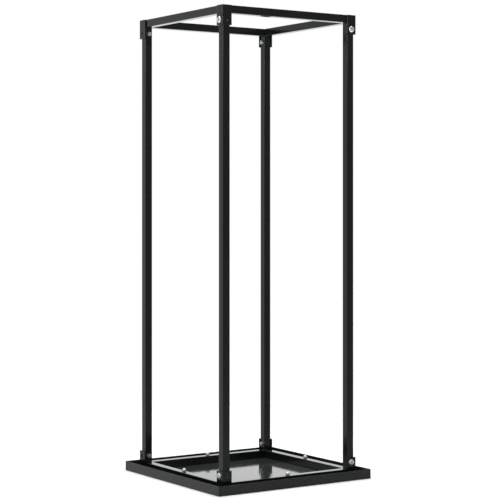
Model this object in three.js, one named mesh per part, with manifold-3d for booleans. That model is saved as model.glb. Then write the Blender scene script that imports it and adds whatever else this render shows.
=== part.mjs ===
// Firewood log rack: an open square tower for standing a stack of split logs in.
//
// Four square-tube posts stand in a shallow sheet-steel tray. A ring of square tube ties them
// together at the top, and a second ring lies in the tray at the bottom. Every post end is held
// by an angle bracket round its two outer faces, with one coach bolt through bracket and post.
// The lower ring is held to the tray by one bolt with a cap nut in the middle of each side.
//
// Frame: millimetres, +Z up, origin on the floor under the middle of the tray. +X is the
// right-hand back side, +Y the left-hand back side, so the front corner is at -X -Y.
// The rack repeats itself every quarter turn about Z: each corner and each side is the front
// one turned, which also gives the bolts their pinwheel arrangement.

import * as THREE from "three";
import { mergeVertices } from "three/addons/utils/BufferGeometryUtils.js";
import Module from "manifold-3d";

const wasm = await Module();
wasm.setup();

// Driving dimensions
const RACK_HEIGHT = 1195; // floor to the top of the upper ring
const FRAME_SIDE = 400; // outer face to outer face of the posts
const TRAY_SIDE = 464;
const TRAY_HEIGHT = 24; // also the height of the lower ring's top
const TUBE = 20; // side of the square tube
const TUBE_WALL = 1.5;
const TUBE_CORNER = 1.2; // outer corner radius
const SHEET = 1.5; // the tray's steel sheet
const BRACKET_HEIGHT = 50;
const BRACKET_LEG = 27.5;
const BRACKET_THICKNESS = 4;
const BOLT_FROM_EDGE = 13; // corner bolt to the bracket's free edge
const PUNCHED_HOLE = 4.5; // radius of the holes in the brackets and the posts' outer faces
const FIT = 0.3; // clearance between touching pieces
const ROUND_SEGMENTS = 16;
const DOME_STEPS = 5; // facets from a dome's rim to its pole
const TUBE_CORNER_STEPS = 3; // facets round a corner of the tube

// M6 fasteners: coach bolts and plain nuts at the corners, low bolts and cap nuts in the tray
const SHANK = 3; // radius
const CHAMFER = 1; // at the coach bolts' tips and under the low heads
const NUT_ACROSS_FLATS = 10;
const COACH_BOLT = { headRadius: 8, headHeight: 4.5, pastNut: 2 };
const NUT_HEIGHT = 5;
const TRAY_BOLT = { headRadius: 7, headHeight: 1.5, intoNut: 5.5 };
const CAP_NUT = { hexHeight: 4, domeRadius: 4.7, height: 8.5, boreDepth: 6.5 };

// Derived positions
const HALF_FRAME = FRAME_SIDE / 2;
const POST_CENTRE = HALF_FRAME - TUBE / 2;
const LOWER_RING_BOTTOM = TRAY_HEIGHT - TUBE;
const FLOOR_TOP = LOWER_RING_BOTTOM - FIT;
const FLOOR_BOTTOM = FLOOR_TOP - SHEET;
const UPPER_RING_BOTTOM = RACK_HEIGHT - TUBE;
const BRACKET_INNER = HALF_FRAME + FIT;
const BRACKET_OUTER = BRACKET_INNER + BRACKET_THICKNESS;
const UPPER_BRACKET_BOTTOM = RACK_HEIGHT - BRACKET_HEIGHT;
const LOWER_BRACKET_TOP = LOWER_RING_BOTTOM + BRACKET_HEIGHT;
const UPPER_BOLT_Z = UPPER_BRACKET_BOTTOM + BOLT_FROM_EDGE;
const LOWER_BOLT_Z = LOWER_BRACKET_TOP - BOLT_FROM_EDGE;
const PAST = 5; // how far a cutting tool runs past the face it cuts

const CORNERS = ["front", "right", "back", "left"];
const SIDES = ["front_right", "back_right", "back_left", "front_left"];

// Surfaces
function blackPaint() {
  return new THREE.MeshStandardMaterial({ color: 0x17181a, roughness: 0.35, metalness: 0 });
}

function texturedBlackPaint() {
  return new THREE.MeshStandardMaterial({ color: 0x1c1d1f, roughness: 0.6, metalness: 0 });
}

function zincPlate() {
  return new THREE.MeshStandardMaterial({ color: 0xc4c6c8, roughness: 0.28, metalness: 1 });
}

// A closed geometry as a solid that can be joined and cut
function solid(geometry) {
  const bare = geometry.clone();
  bare.deleteAttribute("normal");
  bare.deleteAttribute("uv");
  const merged = mergeVertices(bare);
  const vertProperties = new Float32Array(merged.attributes.position.array);
  const triVerts = new Uint32Array(merged.index.array);
  return new wasm.Manifold(new wasm.Mesh({ numProp: 3, vertProperties, triVerts }));
}

function geometryOf(body) {
  const mesh = body.getMesh();
  const geometry = new THREE.BufferGeometry();
  geometry.setAttribute("position", new THREE.BufferAttribute(mesh.vertProperties, 3));
  geometry.setIndex(new THREE.BufferAttribute(mesh.triVerts, 1));
  return geometry;
}

// Box between two corners
function block([x0, y0, z0], [x1, y1, z1]) {
  const box = new THREE.BoxGeometry(x1 - x0, y1 - y0, z1 - z0);
  return box.translate((x0 + x1) / 2, (y0 + y1) / 2, (z0 + z1) / 2);
}

// Square slab centred on Z
function slab(side, bottom, top) {
  const half = side / 2;
  return block([-half, -half, bottom], [half, half, top]);
}

// Upright rod with its middle on the given point of the XY plane
function rod(x, y, radius, bottom, top) {
  const cylinder = new THREE.CylinderGeometry(radius, radius, top - bottom, ROUND_SEGMENTS);
  return cylinder.rotateX(Math.PI / 2).translate(x, y, (bottom + top) / 2);
}

// Six-sided prism of the nuts' size, standing on z = 0
function hexagon(height) {
  const radius = NUT_ACROSS_FLATS / Math.sqrt(3);
  const prism = new THREE.CylinderGeometry(radius, radius, height, 6);
  return prism.rotateX(Math.PI / 2).translate(0, 0, height / 2);
}

// Turned piece about Z from [radius, z] pairs
function turned(profile) {
  const points = profile.map(([radius, z]) => new THREE.Vector2(radius, z));
  return new THREE.LatheGeometry(points, ROUND_SEGMENTS).rotateX(Math.PI / 2);
}

// Quarter circle from the rim to the pole, as [radius, z] pairs
function domeProfile(radius, bottom, height) {
  const pairs = [];
  for (let i = 0; i <= DOME_STEPS; i += 1) {
    const angle = (i / DOME_STEPS) * (Math.PI / 2);
    const r = i === DOME_STEPS ? 0 : radius * Math.cos(angle);
    pairs.push([r, bottom + height * Math.sin(angle)]);
  }
  return pairs;
}

// Square tube centred on Z, standing on z = 0
function squareTube(length) {
  const outer = TUBE / 2;
  const bend = outer - TUBE_CORNER;
  const section = new THREE.Shape();
  section.absarc(bend, bend, TUBE_CORNER, 0, Math.PI / 2);
  section.absarc(-bend, bend, TUBE_CORNER, Math.PI / 2, Math.PI);
  section.absarc(-bend, -bend, TUBE_CORNER, Math.PI, 1.5 * Math.PI);
  section.absarc(bend, -bend, TUBE_CORNER, 1.5 * Math.PI, 2 * Math.PI);
  section.closePath();
  const inner = outer - TUBE_WALL;
  const bore = new THREE.Path();
  bore.moveTo(inner, inner);
  bore.lineTo(inner, -inner);
  bore.lineTo(-inner, -inner);
  bore.lineTo(-inner, inner);
  bore.closePath();
  section.holes.push(bore);
  const options = { depth: length, bevelEnabled: false, curveSegments: TUBE_CORNER_STEPS };
  return new THREE.ExtrudeGeometry(section, options);
}

// Sheet-steel pan: four upright walls, and a floor set a little above their lower edges
function trayGeometry() {
  const inside = TRAY_SIDE - 2 * SHEET;
  const walls = solid(slab(TRAY_SIDE, 0, TRAY_HEIGHT));
  const aboveFloor = solid(slab(inside, FLOOR_TOP, TRAY_HEIGHT + PAST));
  const underFloor = solid(slab(inside, -PAST, FLOOR_BOTTOM));
  let tray = walls.subtract(aboveFloor).subtract(underFloor);
  for (const [x, y] of [[0, -1], [1, 0], [0, 1], [-1, 0]]) {
    const hole = rod(x * POST_CENTRE, y * POST_CENTRE, SHANK + FIT, -PAST, TRAY_HEIGHT);
    tray = tray.subtract(solid(hole));
  }
  return geometryOf(tray);
}

// Ring bar along X on the -Y side, both ends mitred, its bottom on z = 0
function ringBar(boltHole) {
  const tube = squareTube(FRAME_SIDE).rotateY(Math.PI / 2);
  tube.translate(-HALF_FRAME, -POST_CENTRE, TUBE / 2);
  const inset = FIT / Math.SQRT2;
  const plan = new THREE.Shape();
  plan.moveTo(-HALF_FRAME + inset, -HALF_FRAME);
  plan.lineTo(HALF_FRAME - inset, -HALF_FRAME);
  plan.lineTo(HALF_FRAME - TUBE - inset, -HALF_FRAME + TUBE);
  plan.lineTo(-HALF_FRAME + TUBE + inset, -HALF_FRAME + TUBE);
  plan.closePath();
  const mitre = new THREE.ExtrudeGeometry(plan, { depth: TUBE + 2 * PAST, bevelEnabled: false });
  mitre.translate(0, 0, -PAST);
  let bar = solid(tube).intersect(solid(mitre));
  if (boltHole) {
    const hole = rod(0, -POST_CENTRE, SHANK + FIT, -PAST, TUBE + PAST);
    bar = bar.subtract(solid(hole));
  }
  return geometryOf(bar);
}

// Drill through the origin along X or along Y
function drillAlong(direction, radius, reach) {
  const drill = rod(0, 0, radius, -reach, reach);
  return direction === "x" ? drill.rotateY(Math.PI / 2) : drill.rotateX(Math.PI / 2);
}

// The two punches that open the outer faces of the front corner, at a distance from the axis
function punches(outerFace, z) {
  const alongX = drillAlong("x", PUNCHED_HOLE, PAST).translate(-outerFace, -POST_CENTRE, z);
  const alongY = drillAlong("y", PUNCHED_HOLE, PAST).translate(-POST_CENTRE, -outerFace, z);
  return solid(alongX).add(solid(alongY));
}

// Post of the front corner in the rack's own coordinates. Near each end both outer faces are
// punched, and only the bolt's own hole, along X, goes on through the inner face.
function postGeometry() {
  const bottom = TRAY_HEIGHT + FIT;
  const top = UPPER_RING_BOTTOM - FIT;
  const tube = squareTube(top - bottom).translate(-POST_CENTRE, -POST_CENTRE, bottom);
  let post = solid(tube);
  for (const z of [LOWER_BOLT_Z, UPPER_BOLT_Z]) {
    const through = drillAlong("x", SHANK + FIT, TUBE).translate(-POST_CENTRE, -POST_CENTRE, z);
    post = post.subtract(solid(through)).subtract(punches(HALF_FRAME, z));
  }
  return geometryOf(post);
}

// Angle bracket round the front corner, its lower edge on z = 0, with a hole in each leg
function bracketGeometry(holeZ) {
  const end = -BRACKET_OUTER + BRACKET_LEG;
  const plan = new THREE.Shape();
  plan.moveTo(-BRACKET_OUTER, -BRACKET_OUTER);
  plan.lineTo(end, -BRACKET_OUTER);
  plan.lineTo(end, -BRACKET_INNER);
  plan.lineTo(-BRACKET_INNER, -BRACKET_INNER);
  plan.lineTo(-BRACKET_INNER, end);
  plan.lineTo(-BRACKET_OUTER, end);
  plan.closePath();
  const angle = new THREE.ExtrudeGeometry(plan, { depth: BRACKET_HEIGHT, bevelEnabled: false });
  return geometryOf(solid(angle).subtract(punches(BRACKET_OUTER, holeZ)));
}

// Coach bolt on Z: the domed head below z = 0, the shank running up
function coachBoltGeometry() {
  const { headRadius, headHeight, pastNut } = COACH_BOLT;
  const length = BRACKET_THICKNESS + TUBE + NUT_HEIGHT + 3 * FIT + pastNut;
  const dome = domeProfile(headRadius, 0, headHeight).reverse();
  const head = dome.map(([radius, z]) => [radius, -z]);
  const shank = [
    [SHANK, 0],
    [SHANK, length - CHAMFER],
    [SHANK - CHAMFER, length],
    [0, length],
  ];
  return turned([...head, ...shank]);
}

// Plain hexagon nut standing on z = 0
function nutGeometry() {
  const bore = rod(0, 0, SHANK + FIT, -PAST, NUT_HEIGHT + PAST);
  return geometryOf(solid(hexagon(NUT_HEIGHT)).subtract(solid(bore)));
}

// Low-headed bolt under the tray floor, the head's seat on z = 0 and the shank running up
function trayBoltGeometry() {
  const { headRadius, headHeight, intoNut } = TRAY_BOLT;
  const length = FIT + SHEET + FIT + TUBE + FIT + intoNut;
  return turned([
    [0, -headHeight],
    [headRadius - CHAMFER, -headHeight],
    [headRadius, 0],
    [SHANK, 0],
    [SHANK, length],
    [0, length],
  ]);
}

// Domed cap nut standing on z = 0, with a blind bore from below
function capNutGeometry() {
  const { hexHeight, domeRadius, height, boreDepth } = CAP_NUT;
  const wall = [[0, 0], [domeRadius, 0]];
  const dome = turned([...wall, ...domeProfile(domeRadius, hexHeight, height - hexHeight)]);
  const bore = rod(0, 0, SHANK + FIT, -PAST, boreDepth);
  return geometryOf(solid(dome).add(solid(hexagon(hexHeight))).subtract(solid(bore)));
}

function named(name, geometry, material) {
  const mesh = new THREE.Mesh(geometry, material);
  mesh.name = name;
  return mesh;
}

// One end of a post: bracket, bolt and nut. The bolt runs along X from outside the corner.
function cornerJoint(corner, level, bracketBottom, boltZ) {
  const joint = new THREE.Group();
  const bracket = named(
    `${level}_bracket_${corner}`,
    bracketGeometry(boltZ - bracketBottom),
    blackPaint(),
  );
  bracket.position.z = bracketBottom;
  const bolt = named(`${level}_bolt_${corner}`, coachBoltGeometry(), zincPlate());
  bolt.position.set(-BRACKET_OUTER - FIT, -POST_CENTRE, boltZ);
  bolt.rotation.y = Math.PI / 2;
  const nut = named(`${level}_nut_${corner}`, nutGeometry(), zincPlate());
  nut.position.set(-HALF_FRAME + TUBE + FIT, -POST_CENTRE, boltZ);
  nut.rotation.y = Math.PI / 2;
  joint.add(bracket, bolt, nut);
  return joint;
}

function cornerGroup(corner, quarter) {
  const group = new THREE.Group();
  group.add(named(`post_${corner}`, postGeometry(), blackPaint()));
  group.add(cornerJoint(corner, "upper", UPPER_BRACKET_BOTTOM, UPPER_BOLT_Z));
  group.add(cornerJoint(corner, "lower", LOWER_RING_BOTTOM, LOWER_BOLT_Z));
  group.rotation.z = quarter * (Math.PI / 2);
  return group;
}

function sideGroup(side, quarter) {
  const group = new THREE.Group();
  const upperBar = named(`upper_ring_${side}`, ringBar(false), blackPaint());
  upperBar.position.z = UPPER_RING_BOTTOM;
  const lowerBar = named(`lower_ring_${side}`, ringBar(true), blackPaint());
  lowerBar.position.z = LOWER_RING_BOTTOM;
  const bolt = named(`tray_bolt_${side}`, trayBoltGeometry(), zincPlate());
  bolt.position.set(0, -POST_CENTRE, FLOOR_BOTTOM - FIT);
  const nut = named(`tray_nut_${side}`, capNutGeometry(), zincPlate());
  nut.position.set(0, -POST_CENTRE, TRAY_HEIGHT + FIT);
  group.add(upperBar, lowerBar, bolt, nut);
  group.rotation.z = quarter * (Math.PI / 2);
  return group;
}

const rack = new THREE.Group();
rack.add(named("base_tray", trayGeometry(), texturedBlackPaint()));
CORNERS.forEach((corner, quarter) => rack.add(cornerGroup(corner, quarter)));
SIDES.forEach((side, quarter) => rack.add(sideGroup(side, quarter)));

export default rack;
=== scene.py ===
"""Looks for the firewood log rack: painted square tube, a sheet-steel tray and zinc-plated bolts.

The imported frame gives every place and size. The rack repeats itself each quarter turn, so a
piece is made once, for the front corner or the front right-hand side, and then turned.
"""

import math

import bmesh
import bpy
from mathutils import Matrix, Vector


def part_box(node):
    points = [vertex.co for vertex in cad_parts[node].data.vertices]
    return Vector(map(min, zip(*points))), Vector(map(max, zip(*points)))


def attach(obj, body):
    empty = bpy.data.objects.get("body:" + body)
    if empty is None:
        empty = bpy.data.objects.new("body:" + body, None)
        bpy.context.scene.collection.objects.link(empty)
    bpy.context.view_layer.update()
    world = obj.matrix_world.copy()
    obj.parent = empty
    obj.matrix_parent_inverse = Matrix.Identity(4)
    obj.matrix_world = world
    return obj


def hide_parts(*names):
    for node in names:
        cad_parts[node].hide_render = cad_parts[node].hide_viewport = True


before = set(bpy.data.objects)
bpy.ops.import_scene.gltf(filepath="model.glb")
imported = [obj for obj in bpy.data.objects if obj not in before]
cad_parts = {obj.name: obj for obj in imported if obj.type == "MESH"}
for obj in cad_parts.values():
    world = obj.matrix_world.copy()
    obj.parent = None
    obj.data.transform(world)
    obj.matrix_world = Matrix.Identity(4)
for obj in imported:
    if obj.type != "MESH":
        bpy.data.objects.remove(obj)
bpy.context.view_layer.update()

MM = 0.001

# Finishing sizes that the frame doesn't hold
TUBE_WALL = 1.5 * MM
TUBE_CORNER = 1.2 * MM
CORNER_STEPS = 6
BORE_CORNER_SHARE = 0.6
EDGE_BREAK = 0.5 * MM
BEND_RADIUS = 1.2 * MM
LEG_END_ROUND = 1.5 * MM
FIT = 0.3 * MM
TRAY_SHEET = 1.5 * MM
TRAY_CORNER = 1.2 * MM
TRAY_INNER_CORNER = 0.4 * MM
TRAY_EDGE_STEPS = 6
TRAY_FLOOR_TOP = 3.7 * MM
TRAY_FLOOR_UNDERSIDE = 2.2 * MM
SHANK_RADIUS = 3.0 * MM
DRILLED_RADIUS = 3.3 * MM
PUNCHED_RADIUS = 4.5 * MM
PUNCH_REACH = 5.0 * MM
THREAD_PITCH = 1.0 * MM
THREAD_DEPTH = 0.35 * MM
HEAD_RIM = 0.4 * MM
NUT_ACROSS_FLATS = 10 * MM
TRAY_HEAD_HEIGHT = 1.5 * MM
TRAY_HEAD_FACE_SHARE = 0.85
CAP_HEXAGON_HEIGHT = 4 * MM
CAP_DOME_RADIUS = 4.7 * MM
CHAMFER = math.radians(30)
FACE_SHARE = 0.97
ROUND_STEPS = 48
DOME_STEPS = 9
POLE_SHARE = 1 / 50
BEVEL_SEGMENTS = 3
BEVEL_ANGLE = math.radians(50)
SHARP_ANGLE = math.radians(38)
WELD = 0.01 * MM

# The studio: a pale sheet, a room that is brightest behind the rack, and two softboxes
FLOOR_RADIUS = 1.6
FLOOR_THICKNESS = 0.3 * MM
WORLD_DIM = 0.18
WORLD_BRIGHT = 1.3
FLOOR_BOUNCE = 2.0
OVERHEAD_WATTS = 105.0
OVERHEAD_PLACE = (0.3, 0.4, 3.2)
OVERHEAD_SIDE = 2.4
LEFT_WATTS = 45.0
LEFT_SOFTBOX_AZIMUTH = 215.0
LEFT_SOFTBOX_REACH = 3.0
LEFT_SOFTBOX_HEIGHT = 2.0
LEFT_SOFTBOX_SIZE = (1.2, 1.5)

# The eye looks level at the front corner, from a little to the left of it
VIEW_YAW = math.radians(33.6)
EYE_DISTANCE = 4.098
EYE_SIDESTEP = 0.010
EYE_HEIGHT = 0.6985
LENS_MM = 112.6
SENSOR_MM = 36.0
FRAME_SHIFT = -0.085

CORNERS = ("front", "right", "back", "left")
SIDES = ("front_right", "back_right", "back_left", "front_left")
LEVELS = ("lower", "upper")


# ---------------------------------------------------------------- places from the frame


class Box:
    """A node's box at rest, by its low and high corners."""

    def __init__(self, node):
        low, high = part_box(node)
        self.low = Vector(low)
        self.high = Vector(high)
        self.middle = (self.low + self.high) / 2
        self.size = self.high - self.low


def quarter_turn(number):
    """The turn about Z that takes the front corner to corner number 0, 1, 2 or 3."""
    return Matrix.Rotation(number * math.pi / 2, 4, "Z")


# ---------------------------------------------------------------- mesh making


def new_piece(name, mesh, *materials):
    """An object at the origin that shows the mesh."""
    for material in materials:
        mesh.materials.append(material)
    piece = bpy.data.objects.new(name, mesh)
    bpy.context.scene.collection.objects.link(piece)
    return piece


def loft(name, rings, closed=False):
    """A solid skinned over rings of points. It closes on itself, or has a face across each end."""
    count = len(rings[0])
    points = [point for ring in rings for point in ring]
    faces = []
    for level in range(len(rings) if closed else len(rings) - 1):
        this = level * count
        after = (level + 1) % len(rings) * count
        for i in range(count):
            j = (i + 1) % count
            faces.append((this + i, this + j, after + j, after + i))
    if not closed:
        faces.append(tuple(reversed(range(count))))
        faces.append(tuple(range(len(points) - count, len(points))))
    mesh = bpy.data.meshes.new(name)
    mesh.from_pydata(points, [], faces)
    face_outwards(mesh)
    return mesh


def face_outwards(mesh):
    """Turns every face of a closed solid outwards."""
    work = bmesh.new()
    work.from_mesh(mesh)
    bmesh.ops.remove_doubles(work, verts=work.verts, dist=0.001 * MM)
    bmesh.ops.recalc_face_normals(work, faces=work.faces)
    work.to_mesh(mesh)
    work.free()


def quarter_arc(x, y, radius, quarter, z):
    """Points along a quarter circle about (x, y), anticlockwise from so many quarters past +X."""
    points = []
    for step in range(CORNER_STEPS + 1):
        angle = (quarter + step / CORNER_STEPS) * math.pi / 2
        points.append((x + radius * math.cos(angle), y + radius * math.sin(angle), z))
    return points


def rounded_square(side, radius, z):
    """Points round a square with rounded corners, anticlockwise, at height z."""
    reach = side / 2 - radius
    corners = ((reach, reach), (-reach, reach), (-reach, -reach), (reach, -reach))
    ring = []
    for quarter, (x, y) in enumerate(corners):
        ring += quarter_arc(x, y, radius, quarter, z)
    return ring


def circle(radius, z):
    """Points round a circle, anticlockwise, at height z."""
    angles = [step / ROUND_STEPS * math.tau for step in range(ROUND_STEPS)]
    return [(radius * math.cos(a), radius * math.sin(a), z) for a in angles]


def hexagon(across_flats, z, top=0):
    """Points round a hexagon at height z. Its corners fall away at a top, 1, or a bottom, -1."""
    ring = []
    for step in range(ROUND_STEPS):
        angle = step / ROUND_STEPS * math.tau
        off_middle = (angle + math.pi / 6) % (math.pi / 3) - math.pi / 6
        radius = across_flats / 2 / math.cos(off_middle)
        drop = (radius - across_flats / 2) * math.tan(CHAMFER) * top
        ring.append((radius * math.cos(angle), radius * math.sin(angle), z - drop))
    return ring


def dome(radius, height, foot):
    """Rings of a dome from its rim to its crown. A negative height hangs it downwards."""
    rings = []
    for step in range(DOME_STEPS):
        angle = step / DOME_STEPS * math.pi / 2
        rings.append(circle(radius * math.cos(angle), foot + height * math.sin(angle)))
    rings.append(circle(radius * POLE_SHARE, foot + height))
    return rings


def thread(start, end):
    """Rings of a screw thread, drawn as even ridges, from start up to end."""
    rings = []
    for ridge in range(int((end - start) / THREAD_PITCH)):
        z = start + ridge * THREAD_PITCH
        rings.append(circle(SHANK_RADIUS - THREAD_DEPTH, z))
        rings.append(circle(SHANK_RADIUS, z + THREAD_PITCH / 2))
    return rings


def drill(radius, reach, axis, place):
    """A closed cylinder through a place along "X", "Y" or "Z", for cutting a hole."""
    mesh = loft("drill", [circle(radius, -reach), circle(radius, reach)])
    if axis == "X":
        mesh.transform(Matrix.Rotation(math.pi / 2, 4, "Y"))
    if axis == "Y":
        mesh.transform(Matrix.Rotation(-math.pi / 2, 4, "X"))
    mesh.transform(Matrix.Translation(place))
    return mesh


def applied(piece):
    """The piece's mesh with its modifiers made real."""
    depsgraph = bpy.context.evaluated_depsgraph_get()
    return bpy.data.meshes.new_from_object(piece.evaluated_get(depsgraph))


def drilled(mesh, drills):
    """The mesh with each drill's shape cut out of it."""
    piece = new_piece("blank", mesh)
    cutters = [new_piece("drill", drill) for drill in drills]
    for cutter in cutters:
        cut = piece.modifiers.new("hole", "BOOLEAN")
        cut.operation = "DIFFERENCE"
        cut.solver = "EXACT"
        cut.object = cutter
    result = applied(piece)
    for scrap in [piece, *cutters]:
        bpy.data.objects.remove(scrap)
    return result


def smoothed(mesh, edge_break=0.0):
    """The mesh with its sharp edges broken, its curves smooth and its flats flat."""
    if edge_break:
        blank = new_piece("blank", mesh)
        bevel = blank.modifiers.new("edge", "BEVEL")
        bevel.width = edge_break
        bevel.segments = BEVEL_SEGMENTS
        bevel.limit_method = "ANGLE"
        bevel.angle_limit = BEVEL_ANGLE
        mesh = applied(blank)
        bpy.data.objects.remove(blank)
    mesh.polygons.foreach_set("use_smooth", [True] * len(mesh.polygons))
    mesh.set_sharp_from_angle(angle=SHARP_ANGLE)
    blank = new_piece("blank", mesh)
    weighted = blank.modifiers.new("flats", "WEIGHTED_NORMAL")
    weighted.keep_sharp = True
    weighted.weight = 100
    result = applied(blank)
    bpy.data.objects.remove(blank)
    return result


# ---------------------------------------------------------------- building with nodes


class Value:
    """A node's output socket that takes part in Python expressions."""

    def __init__(self, nodes, socket):
        self.nodes = nodes
        self.socket = socket

    def _maths(self, operation, first, second):
        return self.nodes.node("ShaderNodeMath", {"operation": operation}, {0: first, 1: second})

    def __add__(self, other):
        return self._maths("ADD", self, other)

    __radd__ = __add__

    def __sub__(self, other):
        return self._maths("SUBTRACT", self, other)

    def __rsub__(self, other):
        return self._maths("SUBTRACT", other, self)

    def __mul__(self, other):
        return self._maths("MULTIPLY", self, other)

    __rmul__ = __mul__

    def __truediv__(self, other):
        return self._maths("DIVIDE", self, other)

    def at_least(self, other):
        return self._maths("MAXIMUM", self, other)

    def whole(self):
        return self._maths("FLOOR", self, 0.0)


class Nodes:
    """A node tree under construction."""

    def __init__(self, tree):
        self.tree = tree

    def node(self, kind, settings=None, values=None, output=0):
        """Adds a node, sets it, gives its sockets their values or links, and returns an output."""
        node = self.tree.nodes.new(kind)
        for key, setting in (settings or {}).items():
            setattr(node, key, setting)
        for key, value in (values or {}).items():
            for one in value if isinstance(value, list) else [value]:
                if isinstance(one, Value):
                    self.tree.links.new(one.socket, node.inputs[key])
                else:
                    node.inputs[key].default_value = one
        return Value(self, node.outputs[output])

    def ramp(self, value, low, high, start=0.0, end=1.0):
        """The value stretched so that low to high becomes start to end, held at both ends."""
        values = {"Value": value, "From Min": low, "From Max": high, "To Min": start, "To Max": end}
        return self.node("ShaderNodeMapRange", {"clamp": True}, values)


class GeometryTree(Nodes):
    """A Geometry Nodes tree with named inputs, of which one is its material."""

    def __init__(self, name, inputs):
        super().__init__(bpy.data.node_groups.new(name, "GeometryNodeTree"))
        self.identifiers = {}
        for label, kind in {"Geometry": "Geometry", **inputs, "Material": "Material"}.items():
            socket = self.tree.interface.new_socket(label, socket_type=f"NodeSocket{kind}")
            self.identifiers[label] = socket.identifier
        self.group_input = self.tree.nodes.new("NodeGroupInput")

    def given(self, label):
        """A named input's value."""
        return Value(self, self.group_input.outputs[label])

    def ends_with(self, geometry):
        """Makes copies real, gives them the material and sends them out."""
        interface = self.tree.interface
        interface.new_socket("Geometry", in_out="OUTPUT", socket_type="NodeSocketGeometry")
        real = self.node("GeometryNodeRealizeInstances", values={0: geometry})
        finish = {"Geometry": real, "Material": self.given("Material")}
        painted = self.node("GeometryNodeSetMaterial", values=finish)
        out = self.tree.nodes.new("NodeGroupOutput")
        self.tree.links.new(painted.socket, out.inputs[0])

    def run(self, mesh, inputs):
        """The plain mesh that the tree makes from a mesh and its named inputs."""
        piece = new_piece(self.tree.name, mesh)
        modifier = piece.modifiers.new(self.tree.name, "NODES")
        modifier.node_group = self.tree
        for label, value in inputs.items():
            modifier[self.identifiers[label]] = value
        result = applied(piece)
        bpy.data.objects.remove(piece)
        return result


def square_tube_tree():
    """Square tube about Z, standing on z = 0: a filleted square with a square bore, drawn out."""
    sizes = {"Side": "Float", "Wall": "Float", "Corner radius": "Float", "Corner steps": "Int"}
    tree = GeometryTree("Square tube", {**sizes, "Length": "Float"})
    wall = tree.given("Wall")
    outside = (tree.given("Side"), tree.given("Corner radius"))
    bore = (outside[0] - wall * 2.0, outside[1] - wall * BORE_CORNER_SHARE)
    outlines = []
    for side, radius in (outside, bore):
        square = tree.node(
            "GeometryNodeCurvePrimitiveQuadrilateral",
            {"mode": "RECTANGLE"},
            {"Width": side, "Height": side},
        )
        corner = {"Curve": square, "Count": tree.given("Corner steps"), "Radius": radius}
        outlines.append(tree.node("GeometryNodeFilletCurve", {"mode": "POLY"}, corner))
    both = tree.node("GeometryNodeJoinGeometry", values={0: outlines})
    end = tree.node("GeometryNodeFillCurve", {"mode": "TRIANGLES"}, {"Curve": both})
    draw = {"Mesh": end, "Offset Scale": tree.given("Length"), "Individual": False}
    drawn = tree.node("GeometryNodeExtrudeMesh", {"mode": "FACES"}, draw)
    foot = tree.node("GeometryNodeFlipFaces", values={"Mesh": end})
    whole = tree.node("GeometryNodeJoinGeometry", values={0: [drawn, foot]})
    weld = {"Geometry": whole, "Distance": WELD}
    tree.ends_with(tree.node("GeometryNodeMergeByDistance", values=weld))
    return tree


def round_the_rack_tree():
    """Copies of one fastener at every quarter turn, on each level."""
    tree = GeometryTree("Round the rack", {"Levels": "Int", "Rise": "Float"})
    number = tree.node("GeometryNodeInputIndex")
    height = (number / 4.0).whole() * tree.given("Rise")
    place = tree.node("ShaderNodeCombineXYZ", values={"Z": height})
    turn = tree.node("ShaderNodeCombineXYZ", values={"Z": number * (math.pi / 2)})
    where = {"Count": tree.given("Levels") * 4.0, "Position": place}
    points = tree.node("GeometryNodePoints", values=where)
    copying = {"Points": points, "Instance": tree.given("Geometry"), "Rotation": turn}
    tree.ends_with(tree.node("GeometryNodeInstanceOnPoints", values=copying))
    return tree


# ---------------------------------------------------------------- materials


class Finish(Nodes):
    """One material under construction round a Principled shader."""

    def __init__(self, name, **uniform):
        self.material = bpy.data.materials.new(name)
        self.material.use_nodes = True
        super().__init__(self.material.node_tree)
        self.surface = self.tree.nodes["Principled BSDF"]
        for label, value in uniform.items():
            self.surface.inputs[label.replace("_", " ")].default_value = value
        self.place = self.node("ShaderNodeTexCoord", output="Object")

    def noise(self, scale, detail=2.0, roughness=0.5):
        """Soft noise from 0 to 1, its blobs about 1 / scale metres across."""
        values = {"Vector": self.place, "Scale": scale, "Detail": detail, "Roughness": roughness}
        return self.node("ShaderNodeTexNoise", values=values)

    def grains(self, scale):
        """Distance from scattered points, for powder grains and flecks."""
        return self.node("ShaderNodeTexVoronoi", values={"Vector": self.place, "Scale": scale})

    def mixed(self, factor, first, second):
        """Two colours mixed by a factor. A colour Mix node's sockets go by number."""
        sockets = {0: factor, 6: first, 7: second}
        return self.node("ShaderNodeMix", {"data_type": "RGBA"}, sockets, output=2)

    def edges(self, radius):
        """About 1 within radius of a sharp edge, where paint wears, and 0 on the flats."""
        rounded = self.node("ShaderNodeBevel", {"samples": 6}, {"Radius": radius})
        flat = self.node("ShaderNodeNewGeometry", output="Normal")
        dot = {"operation": "DOT_PRODUCT"}
        alike = self.node("ShaderNodeVectorMath", dot, {0: rounded, 1: flat}, output="Value")
        return self.ramp(1.0 - alike, 0.01, 0.12)

    def bump(self, height, strength, distance):
        """A normal bent by a height, over a real distance in metres."""
        values = {"Height": height, "Strength": strength, "Distance": distance}
        return self.node("ShaderNodeBump", values=values)

    def feeds(self, **sockets):
        """Links finished values to the Principled shader and returns the material."""
        for label, value in sockets.items():
            self.tree.links.new(value.socket, self.surface.inputs[label.replace("_", " ")])
        return self.material


def grey(value, cool=0.0):
    """An opaque grey. Cool takes that share of its red away."""
    return (value * (1 - cool), value, value * (1 + cool / 4), 1.0)


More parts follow.
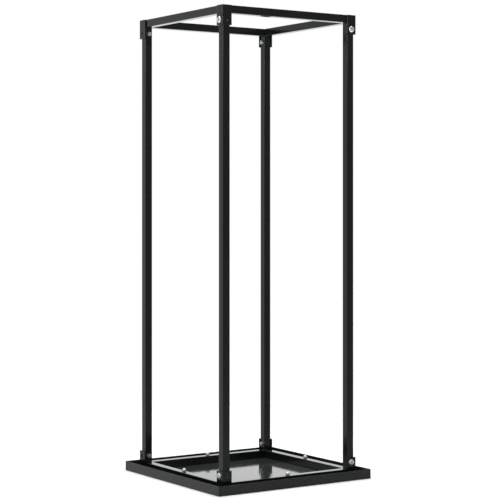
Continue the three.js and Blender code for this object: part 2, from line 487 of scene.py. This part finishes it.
def frame_paint():
    """Satin black paint on the tube and brackets, with faint orange peel and paler edges."""
    paint = Finish("satin_black_paint", IOR=1.5)
    drift = paint.noise(7.0, detail=3.0)
    grain = paint.noise(420.0)
    worn = paint.edges(0.8 * MM)
    even = paint.mixed(paint.ramp(drift, 0.3, 0.7), grey(0.007, 0.2), grey(0.010, 0.18))
    colour = paint.mixed(worn * 0.4, even, grey(0.04, 0.1))
    roughness = 0.10 + 0.05 * drift + 0.03 * grain + 0.1 * worn
    peel = paint.bump(paint.noise(260.0, detail=1.0) + 0.3 * grain, 0.06, 0.05 * MM)
    return paint.feeds(Base_Color=colour, Roughness=roughness, Normal=peel)


def tray_wall_paint():
    """The same black with a fine powder-coat grain, on the tray's walls."""
    paint = Finish("powder_black_paint", IOR=1.5)
    drift = paint.noise(5.0, detail=3.0)
    grain = paint.grains(520.0)
    worn = paint.edges(0.8 * MM)
    even = paint.mixed(paint.ramp(drift, 0.3, 0.7), grey(0.010, 0.15), grey(0.014, 0.15))
    flecked = paint.mixed(paint.ramp(grain, 0.1, 0.7) * 0.35, even, grey(0.018, 0.1))
    colour = paint.mixed(worn * 0.4, flecked, grey(0.05, 0.1))
    roughness = 0.2 + 0.08 * drift + 0.08 * grain
    pebbled = paint.bump(grain + 0.5 * paint.noise(300.0), 0.18, 0.05 * MM)
    return paint.feeds(Base_Color=colour, Roughness=roughness, Normal=pebbled)


def tray_floor_paint():
    """Glossy black on the tray's floor, with faint rubs where logs have stood."""
    paint = Finish("gloss_black_paint", IOR=1.5)
    drift = paint.noise(9.0, detail=4.0)
    rubs = paint.noise(60.0, detail=5.0, roughness=0.7)
    colour = paint.mixed(paint.ramp(drift, 0.3, 0.7), grey(0.026, 0.1), grey(0.034, 0.1))
    roughness = 0.06 + 0.05 * paint.ramp(rubs, 0.45, 0.75) + 0.03 * drift
    wave = paint.bump(paint.noise(14.0, detail=1.0), 0.05, 0.2 * MM)
    return paint.feeds(Base_Color=colour, Roughness=roughness, Normal=wave)


def zinc_plate():
    """Bright zinc plate, a little mottled, duller in patches."""
    plate = Finish("bright_zinc", Metallic=0.9)
    mottle = plate.grains(420.0)
    drift = plate.noise(130.0, detail=3.0)
    patches = plate.mixed(plate.ramp(drift, 0.3, 0.7), grey(0.68), grey(0.88))
    colour = plate.mixed(plate.ramp(mottle, 0.1, 0.8) * 0.3, patches, grey(0.55, 0.03))
    roughness = 0.28 + 0.16 * drift + 0.06 * mottle
    scuffed = plate.bump(plate.noise(900.0) + 0.4 * mottle, 0.15, 0.02 * MM)
    return plate.feeds(Base_Color=colour, Roughness=roughness, Normal=scuffed)


# ---------------------------------------------------------------- the rack's pieces


def finished(name, mesh, slot, nodes, *materials):
    """A piece that rides with the rack and stands for the given nodes."""
    piece = new_piece(name, mesh, *materials)
    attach(piece, "root")
    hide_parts(*nodes)
    return piece


def turned_copy(mesh, number):
    """The front piece's mesh, taken round to another corner or side."""
    copy = mesh.copy()
    copy.transform(quarter_turn(number))
    return copy


def tube_mesh(tree, side, length, paint):
    """A length of the rack's square tube, standing on z = 0."""
    start = bpy.data.meshes.new("start")
    sizes = {"Side": side, "Wall": TUBE_WALL, "Length": length}
    corners = {"Corner radius": TUBE_CORNER, "Corner steps": CORNER_STEPS}
    return tree.run(start, {**sizes, **corners, "Material": paint})


def punches(outer_face, bolt_line, z):
    """The cutters that open both outer faces of the front corner at a bolt's height."""
    along_x = drill(PUNCHED_RADIUS, PUNCH_REACH, "X", (outer_face, bolt_line, z))
    along_y = drill(PUNCHED_RADIUS, PUNCH_REACH, "Y", (bolt_line, outer_face, z))
    return [along_x, along_y]


def make_posts(tree, paint):
    """Four posts, each punched at both ends, with the bolt's hole going on right through."""
    post = Box("post_front")
    tube = tube_mesh(tree, post.size.x, post.size.z, paint)
    tube.transform(Matrix.Translation((post.middle.x, post.middle.y, post.low.z)))
    drills = []
    for level in LEVELS:
        z = Box(f"{level}_bolt_front").middle.z
        drills.append(drill(DRILLED_RADIUS, post.size.x, "X", (post.middle.x, post.middle.y, z)))
        drills += punches(post.low.x, post.middle.x, z)
    mesh = smoothed(drilled(tube, drills))
    for number, corner in enumerate(CORNERS):
        name = f"painted_post_{corner}"
        finished(name, turned_copy(mesh, number), "frame_paint", [f"post_{corner}"])


def make_rings(tree, paint):
    """The upper and lower rings, each of four mitred bars."""
    for level in LEVELS:
        bar = Box(f"{level}_ring_front_right")
        half = bar.size.x / 2
        tube = tube_mesh(tree, bar.size.z, bar.size.x, paint)
        tube.transform(Matrix.Rotation(math.pi / 2, 4, "Y"))
        tube.transform(Matrix.Translation((-half, bar.middle.y, bar.middle.z)))
        for vertex in tube.vertices:
            inward = vertex.co.y - bar.low.y
            vertex.co.x *= (half - inward) / half
        if level == "lower":
            place = Box("tray_bolt_front_right").middle
            tube = drilled(tube, [drill(DRILLED_RADIUS, bar.size.z, "Z", place)])
        mesh = smoothed(tube)
        for number, side in enumerate(SIDES):
            name = f"painted_{level}_ring_{side}"
            finished(name, turned_copy(mesh, number), "frame_paint", [f"{level}_ring_{side}"])


def bracket_outline(box, inner, z):
    """The front corner's bracket from above: a bent strip with rounded bend and leg ends."""
    outer = box.low.x
    end = box.high.x
    bend = outer + BEND_RADIUS
    return [
        *quarter_arc(bend, bend, BEND_RADIUS, 2, z),
        *quarter_arc(end - LEG_END_ROUND, outer + LEG_END_ROUND, LEG_END_ROUND, 3, z),
        (end, inner, z),
        (inner, inner, z),
        (inner, end, z),
        *quarter_arc(outer + LEG_END_ROUND, end - LEG_END_ROUND, LEG_END_ROUND, 1, z),
    ]


def make_brackets(paint):
    """Eight angle brackets, one round each post end."""
    post = Box("post_front")
    for level in LEVELS:
        box = Box(f"{level}_bracket_front")
        bolt = Box(f"{level}_bolt_front")
        inner = post.low.x - FIT
        ends = [bracket_outline(box, inner, z) for z in (box.low.z, box.high.z)]
        holes = punches(box.low.x, post.middle.x, bolt.middle.z)
        blank = smoothed(loft("bracket", ends), EDGE_BREAK)
        mesh = smoothed(drilled(blank, holes))
        for number, corner in enumerate(CORNERS):
            name = f"painted_{level}_bracket_{corner}"
            copy = turned_copy(mesh, number)
            finished(name, copy, "frame_paint", [f"{level}_bracket_{corner}"], paint)


def make_tray(wall_paint, floor_paint):
    """The sheet tray: walls with a rounded top edge, and a glossy floor."""
    box = Box("base_tray")
    outside = box.size.x
    inside = outside - 2 * TRAY_SHEET
    edge = TRAY_SHEET / 2

    def ring(inset, z):
        """The wall's outline at a depth into the sheet, its corners tightening inwards."""
        corner = TRAY_CORNER + (TRAY_INNER_CORNER - TRAY_CORNER) * inset / TRAY_SHEET
        return rounded_square(outside - 2 * inset, corner, z)

    rings = [ring(TRAY_SHEET, TRAY_FLOOR_TOP)]
    for step in range(TRAY_EDGE_STEPS + 1):
        angle = step / TRAY_EDGE_STEPS * math.pi
        inset = edge + edge * math.cos(angle)
        rings.append(ring(inset, box.high.z - edge + edge * math.sin(angle)))
    rings.append(ring(0.0, box.low.z))
    rings.append(ring(TRAY_SHEET, box.low.z))
    rings.append(ring(TRAY_SHEET, TRAY_FLOOR_UNDERSIDE))
    mesh = smoothed(loft("tray", rings))
    for face in mesh.polygons:
        on_floor = abs(face.center.z - TRAY_FLOOR_TOP) < 0.1 * MM and face.normal.z > 0.9
        face.material_index = 1 if on_floor else 0
    finished("painted_tray", mesh, "tray_paint", ["base_tray"], wall_paint, floor_paint)


def coach_bolt_mesh(head_height, head_radius, reach):
    """Coach bolt about Z, seated on z = 0: its domed head below, its threaded end up."""
    head = reversed(dome(head_radius, HEAD_RIM - head_height, -HEAD_RIM))
    seat = [circle(head_radius, 0.0), circle(SHANK_RADIUS, 0.0)]
    ridges = thread(reach / 2, reach - THREAD_PITCH)
    tip = [
        circle(SHANK_RADIUS - THREAD_DEPTH, reach - THREAD_PITCH / 2),
        circle(SHANK_RADIUS / 2, reach),
    ]
    return smoothed(loft("coach_bolt", [*head, *seat, *ridges, *tip]))


def nut_mesh(height):
    """Plain hexagon nut about Z, standing on z = 0, its corners chamfered at both ends."""
    face = NUT_ACROSS_FLATS / 2 * FACE_SHARE
    rings = [
        circle(DRILLED_RADIUS, 0.0),
        circle(face, 0.0),
        hexagon(NUT_ACROSS_FLATS, 0.0, -1),
        hexagon(NUT_ACROSS_FLATS, height, 1),
        circle(face, height),
        circle(DRILLED_RADIUS + THREAD_DEPTH, height),
        circle(DRILLED_RADIUS, height - THREAD_DEPTH),
    ]
    return smoothed(loft("nut", rings, closed=True))


def tray_bolt_mesh(head_radius, reach):
    """Low-headed bolt about Z: its head from z = 0, its threaded end up."""
    top = TRAY_HEAD_HEIGHT
    head = [
        circle(head_radius * TRAY_HEAD_FACE_SHARE, 0.0),
        circle(head_radius, top / 3),
        circle(head_radius, top),
    ]
    tip = [circle(SHANK_RADIUS / 2, reach)]
    return smoothed(loft("tray_bolt", [*head, *thread(top, reach - THREAD_PITCH), *tip]))


def cap_nut_mesh(height):
    """Domed nut about Z, standing on z = 0."""
    shoulder = CAP_HEXAGON_HEIGHT
    rings = [
        circle(NUT_ACROSS_FLATS / 2 * FACE_SHARE, 0.0),
        hexagon(NUT_ACROSS_FLATS, 0.0, -1),
        hexagon(NUT_ACROSS_FLATS, shoulder, 1),
        *dome(CAP_DOME_RADIUS, height - shoulder, shoulder),
    ]
    return smoothed(loft("cap_nut", rings))


def lie_along_x(mesh, x, y, z):
    """Turns a fastener from +Z to +X and puts its foot at a point."""
    mesh.transform(Matrix.Rotation(math.pi / 2, 4, "Y"))
    mesh.transform(Matrix.Translation((x, y, z)))
    return mesh


def make_fasteners(tree, zinc):
    """Bolts and nuts: one of each is made at the front, and the tree puts the others round."""
    bolt = Box("lower_bolt_front")
    nut = Box("lower_nut_front")
    seat = Box("lower_bracket_front").low.x - FIT
    rise = Box("upper_bolt_front").low.z - bolt.low.z
    shaft = coach_bolt_mesh(seat - bolt.low.x, bolt.size.z / 2, bolt.high.x - seat)
    lie_along_x(shaft, seat, bolt.middle.y, bolt.middle.z)
    hexagonal = nut_mesh(nut.size.x)
    lie_along_x(hexagonal, nut.low.x, nut.middle.y, nut.middle.z)

    screw = Box("tray_bolt_front_right")
    cap = Box("tray_nut_front_right")
    low_headed = tray_bolt_mesh(screw.size.x / 2, screw.size.z)
    low_headed.transform(Matrix.Translation((screw.middle.x, screw.middle.y, screw.low.z)))
    domed = cap_nut_mesh(cap.size.z)
    domed.transform(Matrix.Translation((cap.middle.x, cap.middle.y, cap.low.z)))

    at_corners = {"coach_bolts": (shaft, "bolt"), "corner_nuts": (hexagonal, "nut")}
    for name, (mesh, kind) in at_corners.items():
        copies = tree.run(mesh, {"Levels": len(LEVELS), "Rise": rise, "Material": zinc})
        nodes = [f"{level}_{kind}_{corner}" for level in LEVELS for corner in CORNERS]
        finished(name, copies, "zinc", nodes)
    at_sides = {"tray_bolts": (low_headed, "bolt"), "cap_nuts": (domed, "nut")}
    for name, (mesh, kind) in at_sides.items():
        copies = tree.run(mesh, {"Levels": 1, "Rise": 0.0, "Material": zinc})
        nodes = [f"tray_{kind}_{side}" for side in SIDES]
        finished(name, copies, "zinc", nodes)


# ---------------------------------------------------------------- studio


def make_floor():
    """A round pale sheet under the rack, kept out of the paint's reflections."""
    rings = [circle(FLOOR_RADIUS, -2 * FLOOR_THICKNESS), circle(FLOOR_RADIUS, -FLOOR_THICKNESS)]
    pale = Finish("pale_floor", Roughness=0.9, Specular_IOR_Level=0.2)
    colour = pale.mixed(pale.noise(1.5), grey(0.86), grey(0.90))
    floor = new_piece("studio_floor", loft("floor", rings), pale.feeds(Base_Color=colour))
    floor.visible_glossy = False


def make_world():
    """White to the eye. In reflections it is brightest behind the rack and dim in front."""
    world = bpy.data.worlds.new("studio")
    bpy.context.scene.world = world
    world.use_nodes = True
    room = Nodes(world.node_tree)
    background = world.node_tree.nodes["Background"]
    direction = room.node("ShaderNodeTexCoord", output="Generated")
    behind = {0: direction, 1: (math.sin(VIEW_YAW), math.cos(VIEW_YAW), 0.0)}
    dot = {"operation": "DOT_PRODUCT"}
    facing = room.ramp(room.node("ShaderNodeVectorMath", dot, behind, "Value"), -0.5, 1.0)
    glow = WORLD_DIM + (WORLD_BRIGHT - WORLD_DIM) * facing * facing
    height = room.node("ShaderNodeSeparateXYZ", values={0: direction}, output="Z")
    lit = glow.at_least(height * -FLOOR_BOUNCE)
    seen = room.node("ShaderNodeLightPath", output="Is Camera Ray")
    strength = room.node("ShaderNodeMix", {"data_type": "FLOAT"}, {0: seen, 2: lit, 3: 1.0})
    background.inputs["Color"].default_value = grey(1.0)
    world.node_tree.links.new(strength.socket, background.inputs["Strength"])


def make_softbox(name, place, size, power):
    """A large soft area light at a place, turned towards the middle of the rack."""
    data = bpy.data.lights.new(name, "AREA")
    data.shape = "RECTANGLE"
    data.size, data.size_y = size
    data.energy = power
    light = bpy.data.objects.new(name, data)
    bpy.context.scene.collection.objects.link(light)
    place = Vector(place)
    aim = Vector((0.0, 0.0, Box("post_front").middle.z))
    light.rotation_mode = "QUATERNION"
    light.rotation_quaternion = (aim - place).to_track_quat("-Z", "Y")
    light.location = place


def make_camera():
    """A level camera whose frame is shifted down to take in the whole rack."""
    data = bpy.data.cameras.new("camera")
    data.lens = LENS_MM
    data.sensor_width = SENSOR_MM
    data.shift_y = FRAME_SHIFT
    camera = bpy.data.objects.new("camera", data)
    bpy.context.scene.collection.objects.link(camera)
    forward = Vector((math.sin(VIEW_YAW), math.cos(VIEW_YAW), 0.0))
    rightward = Vector((math.cos(VIEW_YAW), -math.sin(VIEW_YAW), 0.0))
    camera.location = rightward * EYE_SIDESTEP - forward * EYE_DISTANCE
    camera.location.z = EYE_HEIGHT
    camera.rotation_mode = "QUATERNION"
    camera.rotation_quaternion = forward.to_track_quat("-Z", "Y")
    bpy.context.scene.camera = camera


def make_studio():
    """Floor, surroundings, two softboxes and the camera."""
    make_floor()
    make_world()
    overhead = (OVERHEAD_SIDE, OVERHEAD_SIDE)
    make_softbox("overhead_softbox", OVERHEAD_PLACE, overhead, OVERHEAD_WATTS)
    left = math.radians(LEFT_SOFTBOX_AZIMUTH)
    x = LEFT_SOFTBOX_REACH * math.cos(left)
    y = LEFT_SOFTBOX_REACH * math.sin(left)
    make_softbox("left_softbox", (x, y, LEFT_SOFTBOX_HEIGHT), LEFT_SOFTBOX_SIZE, LEFT_WATTS)
    make_camera()
    bpy.context.scene.view_settings.view_transform = "Standard"


def main():
    """Makes the rack's looks and the studio round it."""
    paint = frame_paint()
    tube_tree = square_tube_tree()
    make_posts(tube_tree, paint)
    make_rings(tube_tree, paint)
    make_brackets(paint)
    make_tray(tray_wall_paint(), tray_floor_paint())
    make_fasteners(round_the_rack_tree(), zinc_plate())
    make_studio()


main()
